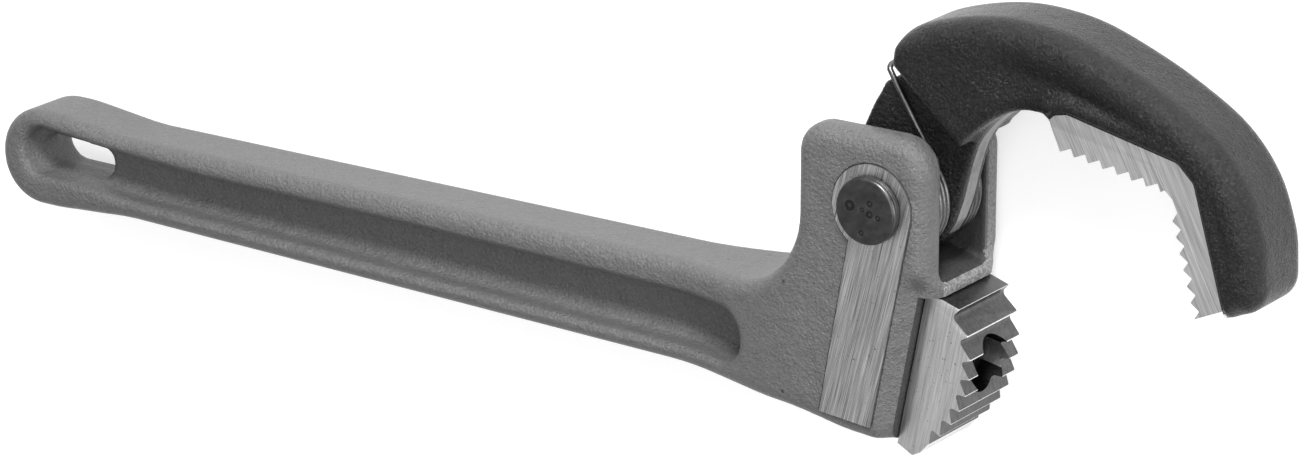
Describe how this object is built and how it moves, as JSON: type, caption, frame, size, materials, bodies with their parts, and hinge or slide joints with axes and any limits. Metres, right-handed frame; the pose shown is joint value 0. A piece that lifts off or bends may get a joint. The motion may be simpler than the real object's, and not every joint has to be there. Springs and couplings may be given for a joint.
{
  "type": "pipe wrench",
  "caption": "Pipe wrench with an I-section handle, a pivoting spring-loaded hook jaw and a toothed heel jaw, lying on its side.",
  "frame": {"origin": "on the hook jaw's pivot axis, at the plane the wrench rests on, which is the pin's far end", "axes": "+X along the handle towards the head, +Y in the plane of the jaws, from the heel jaw to the pivot, +Z the thickness, upwards"},
  "size_m": [0.3561, 0.1048, 0.0373],
  "materials": {
    "grey_enamel": "semi-gloss enamel over a cast surface",
    "black_enamel": "black enamel over a forged surface",
    "black_oxide": "hardened, black oxide",
    "pin_steel": "turned, dark",
    "steel": "plain",
    "spring_wire": "drawn wire",
    "bronze": "sintered"
  },
  "bodies": {
    "handle_body": {"handle": "grey_enamel", "heel_jaw": "black_oxide", "heel_jaw_dowel_lower": "steel", "heel_jaw_dowel_upper": "steel", "heel_jaw_lock_washer": "steel", "heel_jaw_screw": "black_oxide", "jaw_spring": "spring_wire", "pivot_pin": "pin_steel", "pivot_washer": "steel", "retaining_ring": "steel", "spring_sleeve_far": "steel", "spring_sleeve_near": "steel"},
    "jaw_body": {"hook_jaw": "black_enamel", "tang_bush": "bronze"}
  },
  "joints": [
    {"name": "jaw_pivot", "type": "hinge", "parent": "handle_body", "child": "jaw_body", "pos_m": [0, 0, 0.0173], "axis": [0, 0, 1], "range_deg": [-80, 18], "stiffness_Nm_per_rad": 0.43, "deforming": ["jaw_spring"]}
  ]
}
